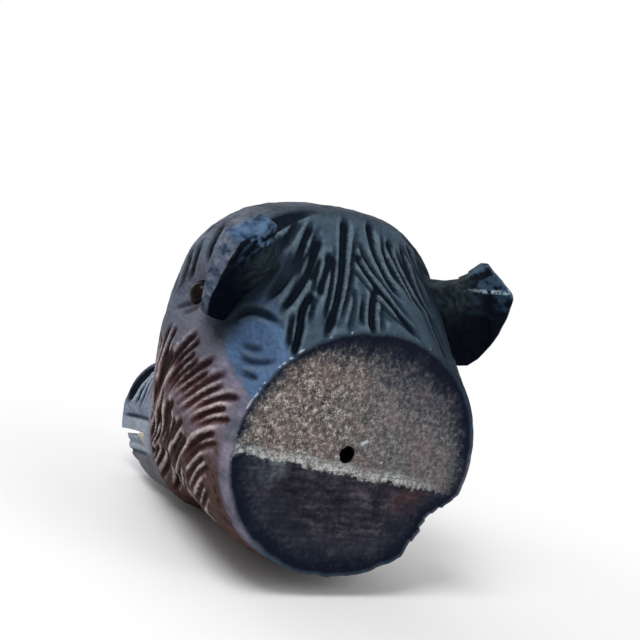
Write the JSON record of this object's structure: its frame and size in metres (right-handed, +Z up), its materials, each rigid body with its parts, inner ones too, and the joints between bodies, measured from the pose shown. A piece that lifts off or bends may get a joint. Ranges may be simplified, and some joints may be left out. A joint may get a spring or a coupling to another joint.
{
  "type": "carved boar head",
  "caption": "Small carved wooden boar head with a fluted mane, tufted cheeks, glued-on ears, glass eyes and tusks, sawn flat behind the neck to be screwed to a wall or plaque.",
  "frame": {"origin": "centre of the flat saw cut behind the neck, on the head's middle plane", "axes": "+Y out of the saw cut, snout along -Y, +Z up to the crown, +X to the boar's left"},
  "size_m": [0.0881, 0.0996, 0.0917],
  "materials": {
    "stained_wood": "dark brown to blue-black stain over gouge-cut wood, worn on the ridges, raw end grain on the sawn back",
    "stained_ear": "near-black stain, blue-grey where the cut facets catch the light",
    "bare_wood": "unstained hardwood",
    "dark_glass": "polished dark glass",
    "wire": "drawn wire",
    "bone": "cream bone, lightly polished"
  },
  "bodies": {
    "root": {"skull_block": "stained_wood", "jaw_block": "stained_wood", "left_ear": "stained_ear", "right_ear": "stained_ear", "left_ear_dowel": "bare_wood", "right_ear_dowel": "bare_wood", "left_eye": "dark_glass", "right_eye": "dark_glass", "left_eye_shank": "wire", "right_eye_shank": "wire", "left_tusk": "bone", "right_tusk": "bone"}
  },
  "joints": []
}
